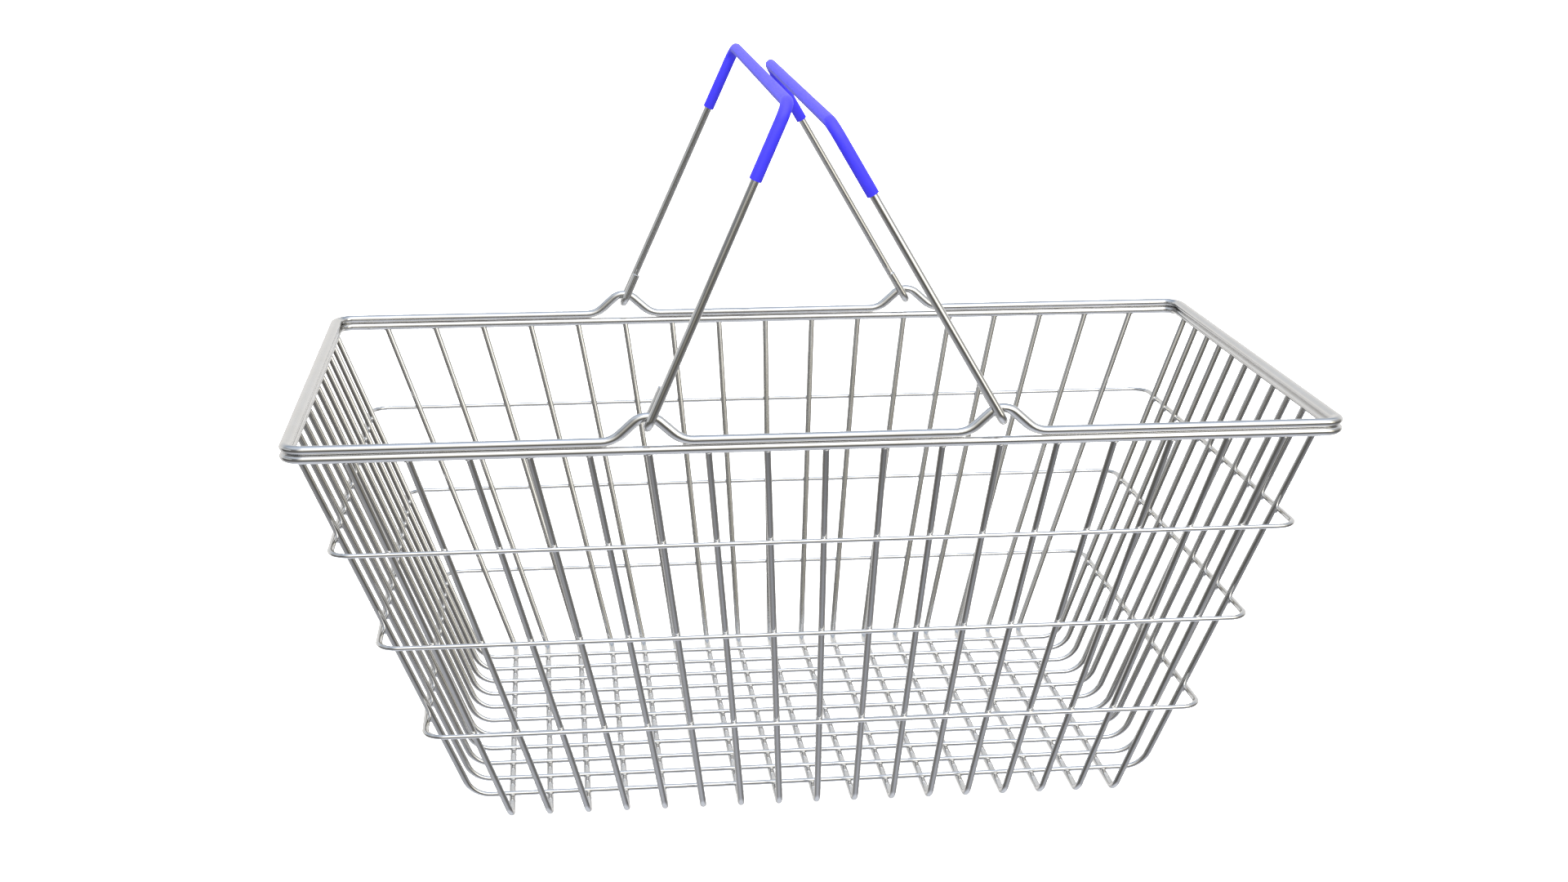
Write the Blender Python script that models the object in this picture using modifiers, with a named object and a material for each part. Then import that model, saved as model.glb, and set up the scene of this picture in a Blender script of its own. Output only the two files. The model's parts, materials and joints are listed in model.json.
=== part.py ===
"""Wire shopping basket with two swinging bail handles.

Frame: metres, +Z up, X along the basket's long side, Y across it. The origin is on the surface
that the basket stands on, at the centre of the basket. The basket is welded from bent round
wires: two stacked rim rings, three band rings, U-shaped cross wires and long wires. Each handle
is one bent wire with a sleeve over its crossbar, hooked under two arches of the upper rim ring.
"""
import math

import bpy
from mathutils import Vector

# ---- driving dimensions, in metres -------------------------------------------------------------
GAP = 0.0003                # clearance left between wires that touch or are welded
LEG_END_GAP = 0.0005        # the same under the rim, where the legs' flat ends lean with the wall
RIM_WIRE = 0.0040           # wire diameters
CROSS_WIRE = 0.0028
LONG_WIRE = 0.0023
BAND_WIRE = 0.0021
HANDLE_WIRE = 0.0039
GRIP_DIAMETER = 0.0057

RIM_LENGTH = 0.4615         # over the outside of the rim
RIM_WIDTH = 0.263
RIM_HEIGHT = 0.1819         # centreline of the upper rim ring above the floor
RIM_CORNER = 0.008          # centreline radius of the rim's corners

CROSS_WIRES = 17            # U-shaped wires that run front to back under the basket
CROSS_PITCH_TOP = 0.0252
CROSS_PITCH_BASE = 0.0174
CROSS_BEND = 0.005
CROSS_SPAN_TOP = 0.2590     # between the centrelines of a wire's legs, at the lower rim ring
CROSS_SPAN_BASE = 0.2120    # and at the floor grid
LONG_WIRES = 11             # U-shaped wires that run end to end, on top of the cross wires
LONG_PITCH_TOP = 0.0213
LONG_PITCH_BASE = 0.0175
LONG_BEND = 0.012
LONG_SPAN_TOP = 0.4532
LONG_SPAN_BASE = 0.3140

BAND_COUNT = 3
LOWEST_BAND = 0.0442        # height of the lowest band ring
BAND_SPACING = 0.0448
BAND_CORNER = 0.009

ARCH_RISE = 0.0106          # centreline of an arch's crest above the rim ring's
ARCH_SLOPE = math.radians(42)
ARCH_CREST_RADIUS = 0.008
ARCH_FOOT_RADIUS = 0.0127

HINGE_X = 0.0765            # the arches and hinge lines stand at this distance each side of X = 0
HANDLE_REACH = 0.1478       # hinge line to crossbar centreline
CROSSBAR_LENGTH = 0.2518    # between the arms' centrelines at the crossbar
CROSSBAR_BEND = 0.0078
HOOK_HALF_GAP = 0.0046      # arm or hook tail to the middle of the hook, centreline
HOOK_BEND = 0.0040
HOOK_TAIL = 0.0173          # length of the hook's tail above the hinge line
GRIP_LEG = 0.0344           # length of sleeve down each arm, from the crossbar's centreline
LEFT_LEAN = math.radians(24.1)      # both handles lean inwards from the vertical at rest
RIGHT_LEAN = math.radians(30.3)
LEFT_HOOK_DROP = 0.0043     # hinge line, the hooks' lowest centreline, below the arches' crests'
RIGHT_HOOK_DROP = 0.0054

TUBE_SIDES = 8
BEND_STEP = math.radians(24)        # largest turn between two points of a bend

# ---- derived dimensions ------------------------------------------------------------------------
# Wires are eight-sided, and the cross wires stand on a flat side.
CROSS_Z = CROSS_WIRE / 2 * math.cos(math.pi / TUBE_SIDES)
LONG_Z = CROSS_Z + (CROSS_WIRE + LONG_WIRE) / 2 + GAP
LOWER_RIM_Z = RIM_HEIGHT - RIM_WIRE - GAP
RIM_HALF_X = (RIM_LENGTH - RIM_WIRE) / 2
RIM_HALF_Y = (RIM_WIDTH - RIM_WIRE) / 2
HALF_FACET = math.pi / TUBE_SIDES   # turns an eight-sided wire from a corner to a flat side

STEEL = ((0.62, 0.62, 0.63, 1.0), 0.22, 1.0)
BLUE_PLASTIC = ((0.085, 0.065, 0.95, 1.0), 0.45, 0.0)


def clear_scene():
    for scene_object in list(bpy.data.objects):
        bpy.data.objects.remove(scene_object, do_unlink=True)


def make_material(name, look):
    colour, roughness, metallic = look
    material = bpy.data.materials.new(name)
    material.use_nodes = True
    shader = material.node_tree.nodes["Principled BSDF"]
    shader.inputs["Base Color"].default_value = colour
    shader.inputs["Roughness"].default_value = roughness
    shader.inputs["Metallic"].default_value = metallic
    return material


def bend(before, corner, after, radius):
    """Points of the arc that rounds the corner of a bent wire."""
    into = (corner - before).normalized()
    out = (after - corner).normalized()
    turn = into.angle(out)
    tangent = radius * math.tan(turn / 2)
    start = corner - into * tangent
    centre = corner + (out - into).normalized() * radius / math.cos(turn / 2)
    spoke = start - centre
    steps = max(2, math.ceil(turn / BEND_STEP))
    return [centre + spoke * math.cos(turn * k / steps) + into * radius * math.sin(turn * k / steps)
            for k in range(steps + 1)]


def rounded_path(corners, radius, closed=False):
    """Centreline of a wire that runs straight between the corners and is bent at each."""
    count = len(corners)
    points = [] if closed else [corners[0]]
    for k in range(0 if closed else 1, count if closed else count - 1):
        points += bend(corners[k - 1], corners[k], corners[(k + 1) % count], radius)
    return points if closed else points + [corners[-1]]


def make_wire(name, points, diameter, material, collection, closed=False, twist="MINIMUM",
              tilt=0.0, capped=True):
    """A round wire along the points, as an eight-sided tube with flat ends."""
    curve = bpy.data.curves.new(name, "CURVE")
    curve.dimensions = "3D"
    curve.twist_mode = twist
    curve.bevel_depth = diameter / 2
    curve.bevel_resolution = 2
    curve.use_fill_caps = capped and not closed
    spline = curve.splines.new("POLY")
    spline.points.add(len(points) - 1)
    for spline_point, place in zip(spline.points, points):
        spline_point.co = (*place, 1.0)
        spline_point.tilt = tilt
    spline.use_cyclic_u = closed
    curve.materials.append(material)
    wire = bpy.data.objects.new(name, curve)
    collection.objects.link(wire)
    return wire


def ring_corners(half_x, half_y, height):
    return [Vector((x * half_x, y * half_y, height))
            for x, y in ((-1, -1), (1, -1), (1, 1), (-1, 1))]


def arch_profile():
    """(along, up) points of one arch, from foot to foot: foot bend, slope, crest, slope, foot."""
    bends_rise = (ARCH_CREST_RADIUS + ARCH_FOOT_RADIUS) * (1 - math.cos(ARCH_SLOPE))
    slope_length = (ARCH_RISE - bends_rise) / math.sin(ARCH_SLOPE)
    half_length = ((ARCH_CREST_RADIUS + ARCH_FOOT_RADIUS) * math.sin(ARCH_SLOPE)
                   + slope_length * math.cos(ARCH_SLOPE))
    foot_steps, crest_steps = 3, 4
    foot = [(-half_length + ARCH_FOOT_RADIUS * math.sin(ARCH_SLOPE * k / foot_steps),
             ARCH_FOOT_RADIUS * (1 - math.cos(ARCH_SLOPE * k / foot_steps)))
            for k in range(foot_steps + 1)]
    crest = [(-ARCH_CREST_RADIUS * math.sin(ARCH_SLOPE * k / crest_steps),
              ARCH_RISE - ARCH_CREST_RADIUS * (1 - math.cos(ARCH_SLOPE * k / crest_steps)))
             for k in range(crest_steps, 0, -1)]
    rising = foot + crest
    return rising + [(0.0, ARCH_RISE)] + [(-along, up) for along, up in reversed(rising)]


def upper_rim_path():
    """A rounded rectangle with two arches in each long side."""
    points = []
    corners = ring_corners(RIM_HALF_X, RIM_HALF_Y, RIM_HEIGHT)
    for k, corner in enumerate(corners):
        points += bend(corners[k - 1], corner, corners[(k + 1) % 4], RIM_CORNER)
        direction = {0: 1, 2: -1}.get(k)
        if direction:
            for middle in (-HINGE_X, HINGE_X):
                points += [Vector((direction * (middle + along), corner.y, corner.z + up))
                           for along, up in arch_profile()]
    return points


def leg_end(span_top, span_base, base_z, rim_half, wire):
    """(half span, height) at which a wall's legs end, just clear of the lower rim ring."""
    base = Vector((span_base / 2, base_z))
    up_leg = (Vector((span_top / 2, LOWER_RIM_Z)) - base).normalized()
    to_ring = Vector((rim_half, LOWER_RIM_Z)) - base
    beside = max(0.0, abs(to_ring.x * up_leg.y - to_ring.y * up_leg.x) - wire / 2)
    short_of_ring = math.sqrt((RIM_WIRE / 2 + LEG_END_GAP) ** 2 - beside ** 2)
    return base + up_leg * (to_ring.dot(up_leg) - short_of_ring)


def add_rims(steel, collection):
    make_wire("upper_rim_ring", upper_rim_path(), RIM_WIRE, steel, collection,
              closed=True, twist="Z_UP")
    lower = rounded_path(ring_corners(RIM_HALF_X, RIM_HALF_Y, LOWER_RIM_Z), RIM_CORNER, closed=True)
    make_wire("lower_rim_ring", lower, RIM_WIRE, steel, collection, closed=True, twist="Z_UP")


def add_cross_wires(steel, collection):
    """Wires that come down the front wall, run back under the basket and go up the back wall."""
    top_y, top_z = leg_end(CROSS_SPAN_TOP, CROSS_SPAN_BASE, CROSS_Z, RIM_HALF_Y, CROSS_WIRE)
    base_y = CROSS_SPAN_BASE / 2
    for k in range(CROSS_WIRES):
        place = k - (CROSS_WIRES - 1) / 2
        top_x, base_x = place * CROSS_PITCH_TOP, place * CROSS_PITCH_BASE
        corners = [Vector((top_x, -top_y, top_z)), Vector((base_x, -base_y, CROSS_Z)),
                   Vector((base_x, base_y, CROSS_Z)), Vector((top_x, top_y, top_z))]
        make_wire(f"cross_wire_{k + 1:02d}", rounded_path(corners, CROSS_BEND), CROSS_WIRE, steel,
                  collection, tilt=HALF_FACET)


def add_long_wires(steel, collection):
    """Wires that come down the left wall, lie on the cross wires and go up the right wall."""
    top_x, top_z = leg_end(LONG_SPAN_TOP, LONG_SPAN_BASE, LONG_Z, RIM_HALF_X, LONG_WIRE)
    base_x = LONG_SPAN_BASE / 2
    for k in range(LONG_WIRES):
        place = k - (LONG_WIRES - 1) / 2
        top_y, base_y = place * LONG_PITCH_TOP, place * LONG_PITCH_BASE
        corners = [Vector((-top_x, top_y, top_z)), Vector((-base_x, base_y, LONG_Z)),
                   Vector((base_x, base_y, LONG_Z)), Vector((top_x, top_y, top_z))]
        make_wire(f"long_wire_{k + 1:02d}", rounded_path(corners, LONG_BEND), LONG_WIRE, steel,
                  collection, tilt=HALF_FACET)


def band_half(span_top, span_base, base_z, height, wire):
    """Half size of a band ring that goes round the outside of a wall's legs at a height."""
    slope = math.atan2((span_top - span_base) / 2, LOWER_RIM_Z - base_z)
    leg = span_base / 2 + (height - base_z) * math.tan(slope)
    return leg + ((wire + BAND_WIRE) / 2 + GAP) / math.cos(slope)


def add_bands(steel, collection):
    for k, name in zip(range(BAND_COUNT), ("lower", "middle", "upper")):
        height = LOWEST_BAND + k * BAND_SPACING
        half_x = band_half(LONG_SPAN_TOP, LONG_SPAN_BASE, LONG_Z, height, LONG_WIRE)
        half_y = band_half(CROSS_SPAN_TOP, CROSS_SPAN_BASE, CROSS_Z, height, CROSS_WIRE)
        path = rounded_path(ring_corners(half_x, half_y, height), BAND_CORNER, closed=True)
        make_wire(f"{name}_band_ring", path, BAND_WIRE, steel, collection, closed=True, twist="Z_UP")


def arm_point(height):
    """(y, z) on an arm's centreline, which closes in slightly towards the crossbar."""
    outer, inner = RIM_HALF_Y + HOOK_HALF_GAP, CROSSBAR_LENGTH / 2
    return outer + (inner - outer) * height / HANDLE_REACH, height


def crossbar_path(arm_height):
    """Centreline from a point up one arm, over the crossbar, to the same point on the other arm."""
    arm_y, arm_z = arm_point(arm_height)
    bar_y = CROSSBAR_LENGTH / 2
    return rounded_path([Vector((0.0, -arm_y, arm_z)), Vector((0.0, -bar_y, HANDLE_REACH)),
                         Vector((0.0, bar_y, HANDLE_REACH)), Vector((0.0, arm_y, arm_z))],
                        CROSSBAR_BEND)


def handle_path():
    """Handle wire in its own plane: Y along the hinge line, Z towards the crossbar."""
    middle = HANDLE_REACH / 2
    inner, outer = RIM_HALF_Y - HOOK_HALF_GAP, RIM_HALF_Y + HOOK_HALF_GAP
    hook = [(inner, HOOK_TAIL), (inner, 0.0), (outer, 0.0), arm_point(middle)]
    hook_path = rounded_path([Vector((0.0, y, z)) for y, z in hook], HOOK_BEND)[:-1]
    mirrored = [Vector((0.0, -point.y, point.z)) for point in hook_path]
    return mirrored + crossbar_path(middle)[1:-1] + hook_path[::-1]


def add_handle(side, direction, lean, hook_drop, steel, plastic, collection):
    """One handle on its hinge line. direction is -1 on the left and 1 on the right."""
    hinge = bpy.data.objects.new(f"{side}_hinge_line", None)
    hinge.location = (direction * HINGE_X, 0.0, RIM_HEIGHT + ARCH_RISE - hook_drop)
    hinge.rotation_euler = (0.0, -direction * lean, 0.0)
    collection.objects.link(hinge)
    wire = make_wire(f"{side}_handle_wire", handle_path(), HANDLE_WIRE, steel, collection)
    wire.parent = hinge
    grip = make_wire(f"{side}_grip", crossbar_path(HANDLE_REACH - GRIP_LEG), GRIP_DIAMETER, plastic,
                     collection, capped=False)
    grip.parent = hinge
    sleeve = grip.modifiers.new("sleeve_wall", "SOLIDIFY")
    sleeve.thickness = (GRIP_DIAMETER - HANDLE_WIRE) / 2 - GAP
    sleeve.offset = -1.0


def main():
    clear_scene()
    collection = bpy.data.collections.new("wire_shopping_basket")
    bpy.context.scene.collection.children.link(collection)
    steel = make_material("bright_steel", STEEL)
    plastic = make_material("blue_plastic", BLUE_PLASTIC)
    add_rims(steel, collection)
    add_cross_wires(steel, collection)
    add_long_wires(steel, collection)
    add_bands(steel, collection)
    add_handle("left", -1, LEFT_LEAN, LEFT_HOOK_DROP, steel, plastic, collection)
    add_handle("right", 1, RIGHT_LEAN, RIGHT_HOOK_DROP, steel, plastic, collection)


main()
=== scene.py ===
"""Looks of the wire shopping basket: round drawn wires, welds, blue sleeves, floor, light, camera.

Every wire follows the centreline of the CAD wire that it stands for. Metres throughout.
"""
import json
import math

import bmesh
import bpy
from mathutils import Matrix, Vector


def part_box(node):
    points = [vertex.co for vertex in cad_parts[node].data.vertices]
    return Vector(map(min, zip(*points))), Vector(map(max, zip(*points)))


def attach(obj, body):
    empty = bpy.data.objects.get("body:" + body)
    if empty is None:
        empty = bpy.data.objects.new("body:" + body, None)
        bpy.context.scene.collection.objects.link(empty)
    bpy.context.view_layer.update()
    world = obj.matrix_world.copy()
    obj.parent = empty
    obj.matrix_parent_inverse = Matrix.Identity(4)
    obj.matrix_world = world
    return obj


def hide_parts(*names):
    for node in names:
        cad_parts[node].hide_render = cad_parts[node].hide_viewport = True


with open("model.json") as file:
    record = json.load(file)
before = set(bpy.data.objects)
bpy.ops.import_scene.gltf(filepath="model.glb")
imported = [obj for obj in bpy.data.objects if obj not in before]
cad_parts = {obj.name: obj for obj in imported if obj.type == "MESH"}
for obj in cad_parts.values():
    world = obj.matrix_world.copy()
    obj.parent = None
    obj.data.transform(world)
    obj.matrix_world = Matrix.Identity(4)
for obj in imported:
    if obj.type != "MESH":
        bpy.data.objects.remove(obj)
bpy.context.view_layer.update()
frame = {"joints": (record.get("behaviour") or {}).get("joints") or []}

# ---- wires: thicknesses and bends, in metres -----------------------------------------------------
RIM_WIRE = 0.0040
CROSS_WIRE = 0.0028
LONG_WIRE = 0.0023
BAND_WIRE = 0.0021
WIDEN = 1.45                # rims, long wires and bands are oval, this much wider along X than thick
CROSS_WIDEN = 1.09
HANDLE_WIRE = 0.0039
GRIP_DIAMETER = 0.0056
RIM_CORNER = 0.008
CROSS_BEND = 0.005
LONG_BEND = 0.012
BAND_CORNER = 0.009

CROSS_WIRES = 17
CROSS_PITCH_TOP = 0.0252
CROSS_PITCH_BASE = 0.0174
CROSS_SPAN_TOP = 0.2590     # between a wire's legs at the lower rim ring, and at its floor bends
CROSS_SPAN_BASE = 0.2120
LONG_WIRES = 11
LONG_PITCH_TOP = 0.0213
LONG_PITCH_BASE = 0.0175
LONG_SPAN_TOP = 0.4532
LONG_SPAN_BASE = 0.3140
SET_DOWN = 0.0001           # resistance welding sinks a wire this far into the one it crosses
LEG_TOP = 0.0022            # the upper pitches hold this far below the lower rim ring's centreline

HINGE_X = 0.0765
ARCH_SLOPE = math.radians(42)
ARCH_CREST_RADIUS = 0.008
ARCH_FOOT_RADIUS = 0.0127

HANDLE_REACH = 0.1478       # hinge line to crossbar centreline
CROSSBAR_LENGTH = 0.2518
CROSSBAR_BEND = 0.0078
HOOK_HALF_GAP = 0.0046
HOOK_BEND = 0.0040
HOOK_TAIL = 0.0173
GRIP_LEG = 0.0344
LEAN = {"left": math.radians(24.1), "right": math.radians(30.3)}

WIRE_SIDES = 14
THICK_WIRE_SIDES = 20
SLEEVE_SIDES = 24
BEND_STEP = math.radians(9)
CUT_CHAMFER = 0.00035       # the bevel that a cropped wire end keeps

# Half sizes of the weld nuggets, as (x, y, z) parts of the half widths of the wires that meet:
# a long wire's along X, a cross wire's along Y and Z.
FLOOR_NUGGET = (0.5, 0.5, 0.15)
CROSS_BAND_NUGGET = (0.5, 0.6, 1.3)
LONG_BAND_NUGGET = (0.6, 0.5, 1.3)
RIM_NUGGET = (0.95, 0.95, 0.3)

# The sleeve's cut end: how far along the wire, and how far in from the sleeve's outside.
SLEEVE_OVERLAP = 0.0001     # the end's face starts this far under the wire's surface
SLEEVE_LIP = ((0.00002, 0.0003), (0.0001, 0.0001), (0.0003, 0.0))

FLOOR_DEPTH = 0.0002        # the floor lies this far below the wires, and reaches this far out
FLOOR_REACH = 30.0
PANEL_DISTANCE = 1.15       # of the upright softboxes, from the middle of the basket


# ---- centrelines ---------------------------------------------------------------------------------
def bend(before, corner, after, radius):
    """Points of the arc that rounds the corner of a bent wire."""
    into = (corner - before).normalized()
    out = (after - corner).normalized()
    turn = into.angle(out)
    start = corner - into * radius * math.tan(turn / 2)
    centre = corner + (out - into).normalized() * radius / math.cos(turn / 2)
    spoke = start - centre
    steps = max(3, math.ceil(turn / BEND_STEP))
    return [centre + spoke * math.cos(turn * k / steps) + into * radius * math.sin(turn * k / steps)
            for k in range(steps + 1)]


def bent_wire(corners, radius):
    """Centreline of a wire that runs straight between the corners and is bent at each."""
    points = [corners[0]]
    for k in range(1, len(corners) - 1):
        points += bend(corners[k - 1], corners[k], corners[k + 1], radius)
    return points + [corners[-1]]


def ring(half_x, half_y, height, radius):
    """A rounded rectangle, from the middle of its back side round to there again."""
    start = Vector((0.0, half_y, height))
    corners = [Vector((x * half_x, y * half_y, height)) for x, y in ((-1, 1), (-1, -1), (1, -1), (1, 1))]
    return bent_wire([start] + corners + [start], radius)[:-1]


def arch(rise):
    """(along, up) points of one rim arch, from foot to foot."""
    bends_rise = (ARCH_CREST_RADIUS + ARCH_FOOT_RADIUS) * (1 - math.cos(ARCH_SLOPE))
    slope_length = (rise - bends_rise) / math.sin(ARCH_SLOPE)
    half_length = ((ARCH_CREST_RADIUS + ARCH_FOOT_RADIUS) * math.sin(ARCH_SLOPE)
                   + slope_length * math.cos(ARCH_SLOPE))
    steps = math.ceil(ARCH_SLOPE / BEND_STEP)
    foot = [(-half_length + ARCH_FOOT_RADIUS * math.sin(ARCH_SLOPE * k / steps),
             ARCH_FOOT_RADIUS * (1 - math.cos(ARCH_SLOPE * k / steps))) for k in range(steps + 1)]
    crest = [(-ARCH_CREST_RADIUS * math.sin(ARCH_SLOPE * k / steps),
              rise - ARCH_CREST_RADIUS * (1 - math.cos(ARCH_SLOPE * k / steps)))
             for k in range(steps, 0, -1)]
    half = foot + crest
    return half + [(0.0, rise)] + [(-along, up) for along, up in reversed(half)]


def arched_ring(half_x, half_y, height, rise):
    """The rim ring with two arches in each long side."""
    points = []
    flat = ring(half_x, half_y, height, RIM_CORNER)
    for start, end in zip(flat, flat[1:] + flat[:1]):
        points.append(start)
        length = end.x - start.x
        if abs(length) < 2 * RIM_CORNER:
            continue
        direction = math.copysign(1, length)
        for middle in (-HINGE_X * direction, HINGE_X * direction):
            if min(start.x, end.x) < middle < max(start.x, end.x):
                points += [Vector((middle + direction * along, start.y, height + up))
                           for along, up in arch(rise)]
    return points


# ---- round wires ---------------------------------------------------------------------------------
def tangents(points, closed):
    """Direction of the wire at each point, halfway between those of the runs that meet there."""
    ways = [(after - before).normalized() for before, after in zip(points, points[1:])]
    if closed:
        ways.append((points[0] - points[-1]).normalized())
        return [(ways[k - 1] + ways[k]).normalized() for k in range(len(points))]
    return [ways[0]] + [(a + b).normalized() for a, b in zip(ways, ways[1:])] + [ways[-1]]


def tube(name, points, radii, sides, material, widen=1.0, closed=False):
    """A bar along the points. Its wire_place attribute is (distance along it, across, across)."""
    mesh_maker = bmesh.new()
    place = mesh_maker.loops.layers.float_vector.new("wire_place")
    ways = tangents(points, closed)
    across = ways[0].orthogonal().normalized()
    turns = [(math.cos(2 * math.pi * side / sides), math.sin(2 * math.pi * side / sides))
             for side in range(sides)]
    rings, distances = [], [0.0]
    for k, (point, way, radius) in enumerate(zip(points, ways, radii)):
        across = (across - way * across.dot(way)).normalized()
        other = way.cross(across)
        verts = []
        for cos, sin in turns:
            spoke = radius * (across * cos + other * sin)
            spoke.x *= widen
            verts.append(mesh_maker.verts.new(point + spoke))
        rings.append(verts)
        distances.append(distances[-1] + (points[(k + 1) % len(points)] - point).length)
    for k in range(len(points) if closed else len(points) - 1):
        lower, upper = rings[k], rings[(k + 1) % len(points)]
        for side in range(sides):
            after = (side + 1) % sides
            face = mesh_maker.faces.new((lower[side], lower[after], upper[after], upper[side]))
            corners = ((k, side), (k, after), (k + 1, after), (k + 1, side))
            for loop, (step, turn) in zip(face.loops, corners):
                cos, sin = turns[turn]
                loop[place] = (distances[step], max(radii) * cos, max(radii) * sin)
    if not closed:
        mesh_maker.faces.new(reversed(rings[0]))
        mesh_maker.faces.new(rings[-1])
    mesh = bpy.data.meshes.new(name)
    mesh_maker.to_mesh(mesh)
    mesh_maker.free()
    mesh.shade_smooth()
    mesh.set_sharp_from_angle(angle=math.radians(40))
    mesh.materials.append(material)
    bar = bpy.data.objects.new(name, mesh)
    bpy.context.scene.collection.objects.link(bar)
    return bar


def ring_wire(node, points, diameter, sides=WIRE_SIDES):
    """A closed ring of the basket, whose butt weld is ground flush, in place of a CAD node."""
    bar = tube(f"{node}_drawn", points, [diameter / 2] * len(points), sides, STEEL, WIDEN, closed=True)
    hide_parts(node)
    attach(bar, "basket")


def wire(node, points, diameter, body, sides=WIRE_SIDES, widen=WIDEN):
    """A drawn wire with bevelled cut ends, in place of a CAD node."""
    ends = []
    for end, inner in ((points[0], points[1]), (points[-1], points[-2])):
        ends.append(end + (inner - end).normalized() * CUT_CHAMFER)
    path = [points[0], ends[0]] + points[1:-1] + [ends[1], points[-1]]
    radius = diameter / 2
    radii = [radius - CUT_CHAMFER] + [radius] * (len(path) - 2) + [radius - CUT_CHAMFER]
    bar = tube(f"{node}_drawn", path, radii, sides, STEEL, widen)
    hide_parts(node)
    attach(bar, body)


def nuggets(name, spots):
    """Flattened balls of weld metal: one for each (middle, parts of the wires' half widths)."""
    wide, deep = LONG_WIRE / 2 * WIDEN, CROSS_WIRE / 2
    mesh_maker = bmesh.new()
    for middle, (x, y, z) in spots:
        half = Matrix.Diagonal((x * wide, y * deep, z * deep, 1.0))
        bmesh.ops.create_icosphere(mesh_maker, subdivisions=2, radius=1.0,
                                   matrix=Matrix.Translation(middle) @ half)
    bmesh.ops.recalc_face_normals(mesh_maker, faces=mesh_maker.faces)
    mesh = bpy.data.meshes.new(name)
    mesh_maker.to_mesh(mesh)
    mesh_maker.free()
    mesh.shade_smooth()
    mesh.materials.append(WELD)
    beads = bpy.data.objects.new(name, mesh)
    bpy.context.scene.collection.objects.link(beads)
    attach(beads, "basket")


# ---- materials -----------------------------------------------------------------------------------
class Look:
    """A node material under construction, with the shader's detail added by short calls."""

    def __init__(self, name, colour, roughness, metallic):
        self.material = bpy.data.materials.new(name)
        self.material.use_nodes = True
        self.nodes = self.material.node_tree.nodes
        self.links = self.material.node_tree.links
        self.shader = self.nodes["Principled BSDF"]
        self.shader.inputs["Base Color"].default_value = (*colour, 1.0)
        self.shader.inputs["Roughness"].default_value = roughness
        self.shader.inputs["Metallic"].default_value = metallic

    def wire_place(self, stretch):
        """Coordinates along and across a wire, with the length squeezed so that noise makes streaks."""
        attribute = self.nodes.new("ShaderNodeAttribute")
        attribute.attribute_name = "wire_place"
        scale = self.nodes.new("ShaderNodeVectorMath")
        scale.operation = "MULTIPLY"
        scale.inputs[1].default_value = (1 / stretch, 1.0, 1.0)
        self.links.new(attribute.outputs["Vector"], scale.inputs[0])
        return scale.outputs["Vector"]

    def object_place(self):
        return self.nodes.new("ShaderNodeTexCoord").outputs["Object"]

    def noise(self, place, scale, detail=2.0, roughness=0.5):
        node = self.nodes.new("ShaderNodeTexNoise")
        node.inputs["Scale"].default_value = scale
        node.inputs["Detail"].default_value = detail
        node.inputs["Roughness"].default_value = roughness
        self.links.new(place, node.inputs["Vector"])
        return node.outputs["Fac"]

    def span(self, value, low, high, to_low, to_high):
        node = self.nodes.new("ShaderNodeMapRange")
        for socket, number in zip(("From Min", "From Max", "To Min", "To Max"),
                                  (low, high, to_low, to_high)):
            node.inputs[socket].default_value = number
        self.links.new(value, node.inputs["Value"])
        return node.outputs["Result"]

    def sum(self, *values):
        total = values[0]
        for value in values[1:]:
            node = self.nodes.new("ShaderNodeMath")
            node.operation = "ADD"
            self.links.new(total, node.inputs[0])
            self.links.new(value, node.inputs[1])
            total = node.outputs[0]
        return total

    def blend(self, amount, first, second):
        """A colour between two colours. Each may be a colour or an output."""
        node = self.nodes.new("ShaderNodeMix")
        node.data_type = "RGBA"
        self.links.new(amount, node.inputs["Factor"])
        for socket, colour in (("A", first), ("B", second)):
            target = next(s for s in node.inputs if s.name == socket and s.type == "RGBA")
            if isinstance(colour, tuple):
                target.default_value = (*colour, 1.0)
            else:
                self.links.new(colour, target)
        return next(s for s in node.outputs if s.type == "RGBA")

    def colour(self, value):
        self.links.new(value, self.shader.inputs["Base Color"])

    def roughness(self, value):
        self.links.new(value, self.shader.inputs["Roughness"])

    def bump(self, height, depth, strength=1.0):
        node = self.nodes.new("ShaderNodeBump")
        node.inputs["Strength"].default_value = strength
        node.inputs["Distance"].default_value = depth
        self.links.new(height, node.inputs["Height"])
        self.links.new(node.outputs["Normal"], self.shader.inputs["Normal"])


def bright_steel():
    """Polished, plated drawn wire: faint die lines along it, cloudy plating, a few dull specks."""
    look = Look("bright_steel_drawn", (0.80, 0.80, 0.80), 0.10, 1.0)
    streaks = look.noise(look.wire_place(60), 2400, 3.0, 0.6)
    clouds = look.noise(look.object_place(), 95, 3.0)
    specks = look.noise(look.object_place(), 1100, 1.0)
    tone = look.blend(look.span(clouds, 0.35, 0.65, 0, 1), (0.79, 0.785, 0.775), (0.82, 0.82, 0.825))
    worn = look.blend(look.span(streaks, 0.56, 0.74, 0, 0.3), tone, (0.70, 0.69, 0.67))
    look.colour(look.blend(look.span(specks, 0.76, 0.82, 0, 0.5), worn, (0.55, 0.54, 0.52)))
    look.roughness(look.sum(look.span(streaks, 0.3, 0.7, 0.08, 0.12),
                            look.span(clouds, 0.35, 0.65, 0.0, 0.03)))
    look.bump(streaks, 0.0000015, 0.5)
    return look.material


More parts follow.
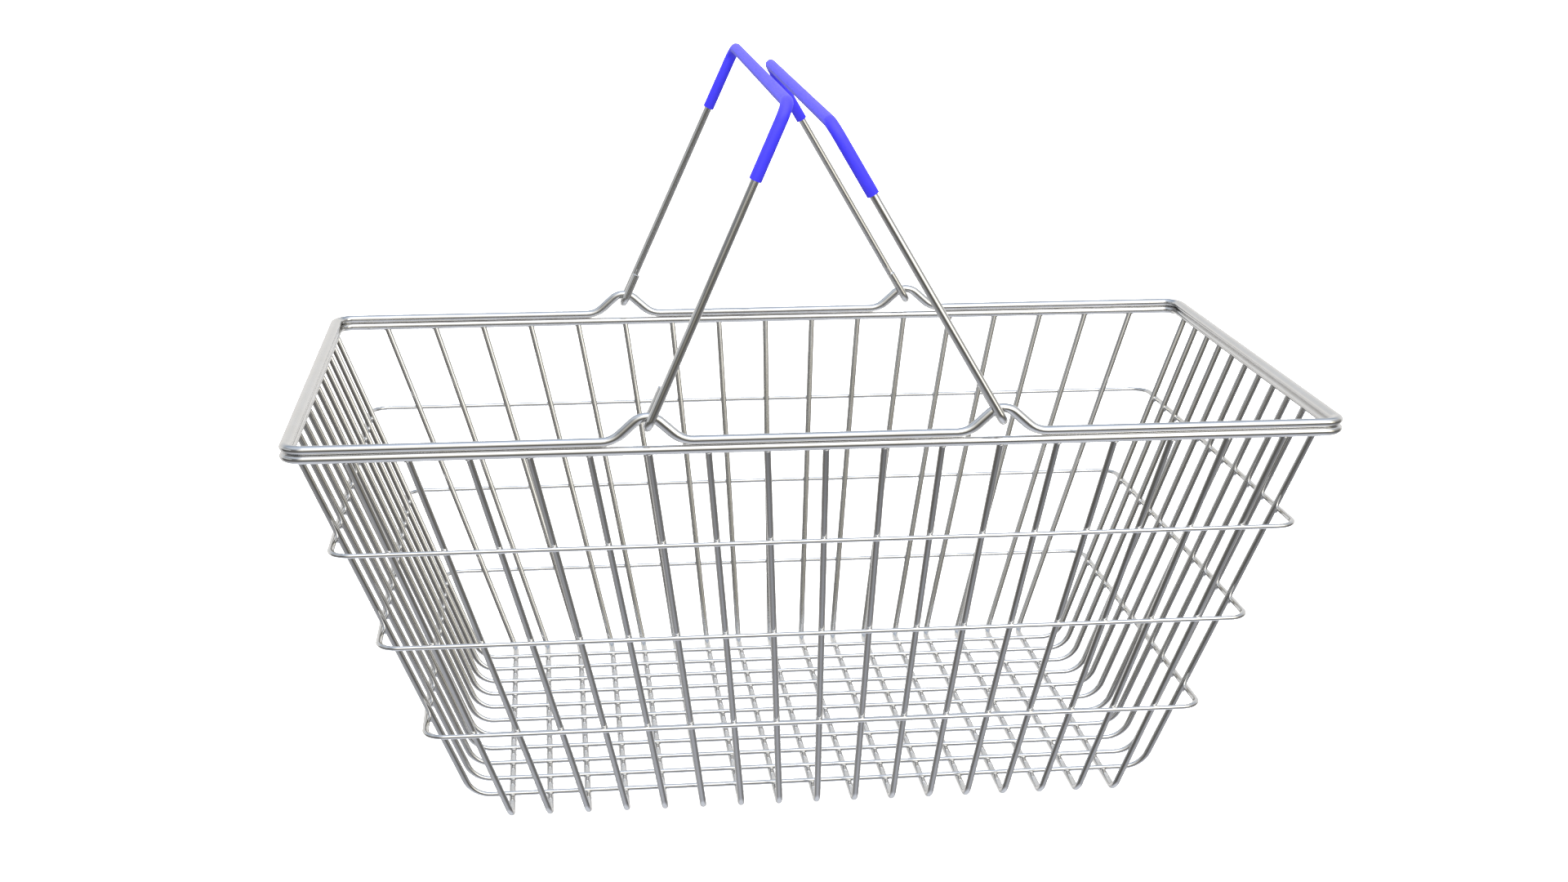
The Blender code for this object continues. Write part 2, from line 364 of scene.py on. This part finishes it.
def weld_steel():
    """Squeezed-out weld metal under the plating: a little duller, finely pitted."""
    look = Look("weld_steel_plated", (0.76, 0.76, 0.76), 0.2, 1.0)
    pits = look.noise(look.object_place(), 1500, 2.0, 0.5)
    tint = look.noise(look.object_place(), 160, 2.0)
    look.colour(look.blend(look.span(tint, 0.35, 0.65, 0, 1), (0.74, 0.73, 0.71), (0.80, 0.80, 0.81)))
    look.roughness(look.span(pits, 0.3, 0.7, 0.12, 0.22))
    look.bump(pits, 0.00001, 0.4)
    return look.material


def blue_plastic():
    """Soft blue vinyl sleeve: faint lengthwise extrusion lines, a fine skin and a few pale scuffs."""
    look = Look("blue_plastic_sleeve", (0.060, 0.049, 1.0), 0.45, 0.0)
    look.shader.inputs["Specular IOR Level"].default_value = 0.35
    lines = look.noise(look.wire_place(60), 1800, 2.0)
    grain = look.noise(look.object_place(), 900, 2.0, 0.5)
    clouds = look.noise(look.object_place(), 70, 2.0)
    scuffs = look.noise(look.wire_place(6), 900, 4.0, 0.7)
    tone = look.blend(look.span(clouds, 0.35, 0.65, 0, 1), (0.055, 0.045, 0.98), (0.065, 0.053, 1.0))
    look.colour(look.blend(look.span(scuffs, 0.68, 0.82, 0, 0.4), tone, (0.12, 0.10, 1.0)))
    look.roughness(look.sum(look.span(grain, 0.3, 0.7, 0.40, 0.48),
                            look.span(scuffs, 0.6, 0.8, 0.0, 0.12)))
    look.bump(look.sum(look.span(lines, 0.3, 0.7, 0, 0.6), look.span(grain, 0.3, 0.7, 0, 0.4)),
              0.000012, 0.4)
    return look.material


# ---- basket --------------------------------------------------------------------------------------
STEEL = bright_steel()
WELD = weld_steel()
PLASTIC = blue_plastic()

_, lower_rim_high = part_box("lower_rim_ring")
_, upper_rim_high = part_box("upper_rim_ring")
RIM_HALF_X = lower_rim_high.x - RIM_WIRE / 2 * WIDEN
RIM_HALF_Y = lower_rim_high.y - RIM_WIRE / 2
UPPER_RIM_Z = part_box("upper_rim_ring")[0].z + RIM_WIRE / 2
LOWER_RIM_Z = UPPER_RIM_Z - RIM_WIRE
ARCH_RISE = upper_rim_high.z - RIM_WIRE / 2 - UPPER_RIM_Z
CROSS_Z = CROSS_WIRE / 2
LONG_Z = CROSS_Z + (CROSS_WIRE + LONG_WIRE) / 2 - SET_DOWN


def add_rims():
    ring_wire("upper_rim_ring", arched_ring(RIM_HALF_X, RIM_HALF_Y, UPPER_RIM_Z, ARCH_RISE),
              RIM_WIRE, THICK_WIRE_SIDES)
    ring_wire("lower_rim_ring", ring(RIM_HALF_X, RIM_HALF_Y, LOWER_RIM_Z, RIM_CORNER),
              RIM_WIRE, THICK_WIRE_SIDES)


def wall_wires(count, pitch_base, pitch_top, base_z):
    """(place at the floor, place at the lower rim ring's centreline) of each wire of a wall."""
    height = LOWER_RIM_Z - base_z
    pitch_rim = pitch_base + (pitch_top - pitch_base) * height / (height - LEG_TOP)
    steps = [k - (count - 1) / 2 for k in range(count)]
    return [(step * pitch_base, step * pitch_rim) for step in steps]


def add_cross_wires(places):
    base_y, top_y = CROSS_SPAN_BASE / 2, CROSS_SPAN_TOP / 2
    for k, (base_x, top_x) in enumerate(places):
        corners = [Vector((top_x, -top_y, LOWER_RIM_Z)), Vector((base_x, -base_y, CROSS_Z)),
                   Vector((base_x, base_y, CROSS_Z)), Vector((top_x, top_y, LOWER_RIM_Z))]
        wire(f"cross_wire_{k + 1:02d}", bent_wire(corners, CROSS_BEND), CROSS_WIRE, "basket",
             widen=CROSS_WIDEN)


def add_long_wires(places):
    base_x, top_x = LONG_SPAN_BASE / 2, LONG_SPAN_TOP / 2
    for k, (base_y, top_y) in enumerate(places):
        corners = [Vector((-top_x, top_y, LOWER_RIM_Z)), Vector((-base_x, base_y, LONG_Z)),
                   Vector((base_x, base_y, LONG_Z)), Vector((top_x, top_y, LOWER_RIM_Z))]
        wire(f"long_wire_{k + 1:02d}", bent_wire(corners, LONG_BEND), LONG_WIRE, "basket")


def wall_half(span_top, span_base, base_z, height):
    """Half distance between the walls' wires at a height."""
    return (span_base + (span_top - span_base) * (height - base_z) / (LOWER_RIM_Z - base_z)) / 2


def add_bands():
    """Returns each band's (half x, half y, height)."""
    sizes = []
    for name in ("lower", "middle", "upper"):
        low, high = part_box(f"{name}_band_ring")
        height = (low.z + high.z) / 2
        half_x = (wall_half(LONG_SPAN_TOP, LONG_SPAN_BASE, LONG_Z, height)
                  + (LONG_WIRE + BAND_WIRE) / 2 * WIDEN - SET_DOWN)
        half_y = (wall_half(CROSS_SPAN_TOP, CROSS_SPAN_BASE, CROSS_Z, height)
                  + (CROSS_WIRE + BAND_WIRE) / 2 - SET_DOWN)
        ring_wire(f"{name}_band_ring", ring(half_x, half_y, height, BAND_CORNER), BAND_WIRE)
        sizes.append((half_x, half_y, height))
    return sizes


def add_welds(cross_places, long_places, band_sizes):
    """Nuggets where the wires of the floor grid cross, at the bands and under the rim."""
    sides = (-1, 1)
    nuggets("floor_grid_welds", [(Vector((base_x, base_y, CROSS_WIRE)), FLOOR_NUGGET)
                                 for base_x, _ in cross_places for base_y, _ in long_places])
    for name, (half_x, half_y, height) in zip(("lower", "middle", "upper"), band_sizes):
        y, up = half_y - CROSS_WIRE / 2, (height - CROSS_Z) / (LOWER_RIM_Z - CROSS_Z)
        spots = [(Vector((base_x + (top_x - base_x) * up, side * y, height)), CROSS_BAND_NUGGET)
                 for base_x, top_x in cross_places for side in sides]
        x, up = half_x - LONG_WIRE / 2 * WIDEN, (height - LONG_Z) / (LOWER_RIM_Z - LONG_Z)
        spots += [(Vector((side * x, base_y + (top_y - base_y) * up, height)), LONG_BAND_NUGGET)
                  for base_y, top_y in long_places for side in sides]
        nuggets(f"{name}_band_welds", spots)
    under = LOWER_RIM_Z - RIM_WIRE / 2
    rim = [(Vector((top_x, side * CROSS_SPAN_TOP / 2, under)), RIM_NUGGET)
           for _, top_x in cross_places for side in sides]
    rim += [(Vector((side * LONG_SPAN_TOP / 2, top_y, under)), RIM_NUGGET)
            for _, top_y in long_places for side in sides]
    nuggets("rim_leg_welds", rim)


# ---- handles -------------------------------------------------------------------------------------
def arm_point(height):
    """(y, z) on an arm's centreline, which closes in slightly towards the crossbar."""
    outer, inner = RIM_HALF_Y + HOOK_HALF_GAP, CROSSBAR_LENGTH / 2
    return outer + (inner - outer) * height / HANDLE_REACH, height


def crossbar(arm_height):
    arm_y, arm_z = arm_point(arm_height)
    bar_y = CROSSBAR_LENGTH / 2
    return bent_wire([Vector((0.0, -arm_y, arm_z)), Vector((0.0, -bar_y, HANDLE_REACH)),
                      Vector((0.0, bar_y, HANDLE_REACH)), Vector((0.0, arm_y, arm_z))], CROSSBAR_BEND)


def handle_line():
    """Handle wire in its own plane: Y along the hinge line, Z towards the crossbar."""
    middle = HANDLE_REACH / 2
    inner, outer = RIM_HALF_Y - HOOK_HALF_GAP, RIM_HALF_Y + HOOK_HALF_GAP
    corners = [(inner, HOOK_TAIL), (inner, 0.0), (outer, 0.0), arm_point(middle)]
    hook = bent_wire([Vector((0.0, y, z)) for y, z in corners], HOOK_BEND)[:-1]
    mirrored = [Vector((0.0, -point.y, point.z)) for point in hook]
    return mirrored + crossbar(middle)[1:-1] + hook[::-1]


def add_handle(side, direction):
    body = f"{side}_handle"
    hinge = next(joint for joint in frame["joints"] if joint["child"] == body)
    stand = (Matrix.Translation(Vector(hinge["pos_m"]))
             @ Matrix.Rotation(-direction * LEAN[side], 4, "Y"))
    wire(f"{side}_handle_wire", [stand @ point for point in handle_line()], HANDLE_WIRE, body,
         THICK_WIRE_SIDES, widen=1.0)
    line = [stand @ point for point in crossbar(HANDLE_REACH - GRIP_LEG)]
    full = GRIP_DIAMETER / 2
    lip = [(0.0, HANDLE_WIRE / 2 - SLEEVE_OVERLAP)] + [(along, full - inset) for along, inset in SLEEVE_LIP]
    into_start = (line[1] - line[0]).normalized()
    into_end = (line[-2] - line[-1]).normalized()
    path = ([line[0] + into_start * along for along, _ in lip] + line[1:-1]
            + [line[-1] + into_end * along for along, _ in reversed(lip)])
    ends = [radius for _, radius in lip]
    radii = ends + [full] * (len(line) - 2) + ends[::-1]
    sleeve = tube(f"{side}_grip_sleeve", path, radii, SLEEVE_SIDES, PLASTIC)
    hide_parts(f"{side}_grip")
    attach(sleeve, body)
    sleeve.visible_glossy = False


# ---- stage: floor, light, camera -----------------------------------------------------------------
def add_floor():
    """A plain white floor. From below it is clear, so that it never hides the basket's underside."""
    mesh_maker = bmesh.new()
    bmesh.ops.create_grid(mesh_maker, x_segments=1, y_segments=1, size=FLOOR_REACH)
    mesh = bpy.data.meshes.new("floor")
    mesh_maker.to_mesh(mesh)
    mesh_maker.free()
    floor = bpy.data.objects.new("floor", mesh)
    floor.location.z = -FLOOR_DEPTH
    bpy.context.scene.collection.objects.link(floor)
    material = bpy.data.materials.new("white_floor")
    material.use_nodes = True
    nodes, links = material.node_tree.nodes, material.node_tree.links
    shader = nodes["Principled BSDF"]
    shader.inputs["Base Color"].default_value = (0.86, 0.86, 0.86, 1.0)
    shader.inputs["Roughness"].default_value = 0.9
    shader.inputs["Specular IOR Level"].default_value = 0.0
    shader.inputs["Emission Color"].default_value = (1.0, 1.0, 1.0, 1.0)
    shader.inputs["Emission Strength"].default_value = 0.75
    clear = nodes.new("ShaderNodeBsdfTransparent")
    side = nodes.new("ShaderNodeNewGeometry")
    mix = nodes.new("ShaderNodeMixShader")
    links.new(side.outputs["Backfacing"], mix.inputs[0])
    links.new(shader.outputs[0], mix.inputs[1])
    links.new(clear.outputs[0], mix.inputs[2])
    links.new(mix.outputs[0], nodes["Material Output"].inputs["Surface"])
    mesh.materials.append(material)
    floor.visible_glossy = False
    floor.visible_diffuse = False


# What the bright wires reflect on each side of the studio: (elevation in degrees, colour).
# The flank is the far part of the right side.
# It's white overhead and pale underfoot, with a dark band just below the horizon.
TOP = (90, (0.80, 0.90, 1.08))
UNDERFOOT = [(-90, (0.66, 0.68, 0.74)), (-65, (0.69, 0.72, 0.79))]
STUDIO = {
    "front": UNDERFOOT + [(-50, (0.57, 0.59, 0.65)), (-38, (0.36, 0.37, 0.40)), (-26, (0.14, 0.14, 0.14)),
                          (-14, (0.11, 0.105, 0.095)), (-2, (0.26, 0.25, 0.215)), (10, (0.66, 0.64, 0.58)),
                          (21, (1.1, 1.08, 1.02)), (32, (1.32, 1.32, 1.3)), (66, (1.3, 1.3, 1.32)), TOP],
    "left": UNDERFOOT + [(-48, (0.42, 0.43, 0.46)), (-36, (0.27, 0.27, 0.275)), (-24, (0.13, 0.125, 0.12)),
                         (-12, (0.115, 0.112, 0.105)), (0, (0.14, 0.14, 0.13)), (12, (0.17, 0.17, 0.17)),
                         (24, (0.26, 0.27, 0.28)), (50, (0.62, 0.68, 0.76)), TOP],
    "right": UNDERFOOT + [(-48, (0.42, 0.43, 0.46)), (-36, (0.24, 0.24, 0.25)), (-25, (0.19, 0.19, 0.19)),
                          (-14, (0.17, 0.16, 0.14)), (-5, (0.50, 0.47, 0.39)), (1, (0.78, 0.73, 0.59)),
                          (8, (0.94, 0.89, 0.73)), (24, (1.0, 0.97, 0.87)), (50, (1.0, 1.02, 1.04)), TOP],
    "flank": UNDERFOOT + [(-48, (0.42, 0.43, 0.46)), (-36, (0.24, 0.24, 0.25)), (-25, (0.16, 0.16, 0.16)),
                          (-14, (0.13, 0.125, 0.115)), (0, (0.22, 0.215, 0.20)), (8, (0.36, 0.35, 0.32)),
                          (20, (0.46, 0.46, 0.46)), (50, (0.72, 0.76, 0.82)), TOP],
    "back": UNDERFOOT + [(-40, (0.50, 0.50, 0.50)), (-20, (0.76, 0.75, 0.74)), (10, (0.83, 0.82, 0.80)),
                         (24, (0.70, 0.71, 0.72)), (45, (0.38, 0.44, 0.53)), (66, (0.46, 0.54, 0.68)), TOP],
}
# The azimuths over which each side takes over from the one before it, in degrees.
# Azimuth 0 is the side that the front wall faces, 90 the right.
LEFT_FROM, RIGHT_FROM, FLANK_FROM, BACK_FROM = (-8, -40), (32, 46), (58, 70), (100, 126)


def add_studio():
    """The room around the basket. Seen directly, it's plain white."""
    world = bpy.data.worlds.new("studio")
    bpy.context.scene.world = world
    world.use_nodes = True
    nodes, links = world.node_tree.nodes, world.node_tree.links

    def math_node(operation, *inputs):
        node = nodes.new("ShaderNodeMath")
        node.operation = operation
        for socket, value in zip(node.inputs, inputs):
            if isinstance(value, (int, float)):
                socket.default_value = value
            else:
                links.new(value, socket)
        return node.outputs[0]

    def takes_over(azimuth, start_and_end):
        node = nodes.new("ShaderNodeMapRange")
        node.interpolation_type = "SMOOTHSTEP"
        for socket, degrees in zip(("From Min", "From Max"), start_and_end):
            node.inputs[socket].default_value = math.radians(degrees)
        links.new(azimuth, node.inputs["Value"])
        return node.outputs["Result"]

    def ramp(elevation, stops):
        node = nodes.new("ShaderNodeValToRGB")
        node.color_ramp.interpolation = "EASE"
        node.color_ramp.elements.remove(node.color_ramp.elements[1])
        for k, (degrees, colour) in enumerate(stops):
            position = degrees / 180 + 0.5
            stop = node.color_ramp.elements[0] if k == 0 else node.color_ramp.elements.new(position)
            stop.position = position
            stop.color = (*colour, 1.0)
        links.new(elevation, node.inputs[0])
        return node.outputs[0]

    place = nodes.new("ShaderNodeTexCoord")
    split = nodes.new("ShaderNodeSeparateXYZ")
    links.new(place.outputs["Generated"], split.inputs[0])
    x, y, z = split.outputs
    azimuth = math_node("ARCTAN2", x, math_node("MULTIPLY", y, -1.0))
    elevation = math_node("ADD", math_node("DIVIDE", math_node("ARCSINE", z), math.pi), 0.5)
    colour = ramp(elevation, STUDIO["front"])
    away = math_node("ABSOLUTE", azimuth)
    for side, from_azimuth, amount in (("left", azimuth, LEFT_FROM), ("right", azimuth, RIGHT_FROM),
                                       ("flank", azimuth, FLANK_FROM), ("back", away, BACK_FROM)):
        blend = nodes.new("ShaderNodeMix")
        blend.data_type = "RGBA"
        links.new(takes_over(from_azimuth, amount), blend.inputs["Factor"])
        first, second = [socket for socket in blend.inputs if socket.type == "RGBA"]
        links.new(colour, first)
        links.new(ramp(elevation, STUDIO[side]), second)
        colour = next(socket for socket in blend.outputs if socket.type == "RGBA")
    around = nodes["Background"]
    links.new(colour, around.inputs["Color"])
    behind = nodes.new("ShaderNodeBackground")
    behind.inputs["Color"].default_value = (1.0, 1.0, 1.0, 1.0)
    rays = nodes.new("ShaderNodeLightPath")
    mix = nodes.new("ShaderNodeMixShader")
    links.new(rays.outputs["Is Camera Ray"], mix.inputs[0])
    links.new(around.outputs[0], mix.inputs[1])
    links.new(behind.outputs[0], mix.inputs[2])
    links.new(mix.outputs[0], nodes["World Output"].inputs["Surface"])


def add_soft_light(name, azimuth, elevation, angular_radius, radiance, mirrored=True):
    """A round softbox too far off to shade unevenly. Azimuth 0 is the camera's side, 90 the right."""
    a, e = math.radians(azimuth), math.radians(elevation)
    toward = Vector((math.sin(a) * math.cos(e), -math.cos(a) * math.cos(e), math.sin(e)))
    light = bpy.data.lights.new(name, "SUN")
    light.angle = math.radians(2 * angular_radius)
    light.energy = radiance * math.pi * math.sin(math.radians(angular_radius)) ** 2
    lamp = bpy.data.objects.new(name, light)
    lamp.location = toward * 2
    lamp.rotation_mode = "QUATERNION"
    lamp.rotation_quaternion = (-toward).to_track_quat("-Z", "Y")
    lamp.visible_glossy = mirrored
    bpy.context.scene.collection.objects.link(lamp)


def add_panel(name, azimuth, width, bottom, top, radiance, colour):
    """An upright softbox that faces the basket. Its edges are set to the heights from which the arms
    and the rim mirror it and the walls don't."""
    light = bpy.data.lights.new(name, "AREA")
    light.shape = "RECTANGLE"
    light.size, light.size_y = width, top - bottom
    light.color = colour
    light.energy = radiance * math.pi * width * (top - bottom)
    turn = math.radians(azimuth)
    lamp = bpy.data.objects.new(name, light)
    lamp.location = (PANEL_DISTANCE * math.sin(turn), -PANEL_DISTANCE * math.cos(turn), (bottom + top) / 2)
    lamp.rotation_euler = (math.radians(90), 0.0, turn)
    lamp.visible_camera = False
    bpy.context.scene.collection.objects.link(lamp)


def add_camera():
    camera = bpy.data.cameras.new("camera")
    camera.lens = 50.0
    camera.sensor_width = 36.0
    holder = bpy.data.objects.new("camera", camera)
    holder.location = (-0.11609, -1.0196, 0.4276)
    holder.rotation_euler = [math.radians(angle) for angle in (74.563, -0.0916, -6.2527)]
    bpy.context.scene.collection.objects.link(holder)
    bpy.context.scene.camera = holder


add_camera()
add_floor()
add_studio()
add_soft_light("key_softbox", 12, 50, 20, 0.5)
add_soft_light("overhead_fill", 0, 90, 15, 21, mirrored=False)
add_soft_light("front_fill", -25, 10, 40, 1.4, mirrored=False)
add_panel("right_panel", 34, 0.85, 0.19, 1.20, 0.9, (1.0, 0.98, 0.92))
add_panel("left_panel", -82, 1.1, 0.24, 0.60, 0.35, (0.93, 0.97, 1.0))
bpy.context.scene.view_settings.view_transform = "Standard"

cross_places = wall_wires(CROSS_WIRES, CROSS_PITCH_BASE, CROSS_PITCH_TOP, CROSS_Z)
long_places = wall_wires(LONG_WIRES, LONG_PITCH_BASE, LONG_PITCH_TOP, LONG_Z)
add_rims()
add_cross_wires(cross_places)
add_long_wires(long_places)
add_welds(cross_places, long_places, add_bands())
add_handle("left", -1)
add_handle("right", 1)
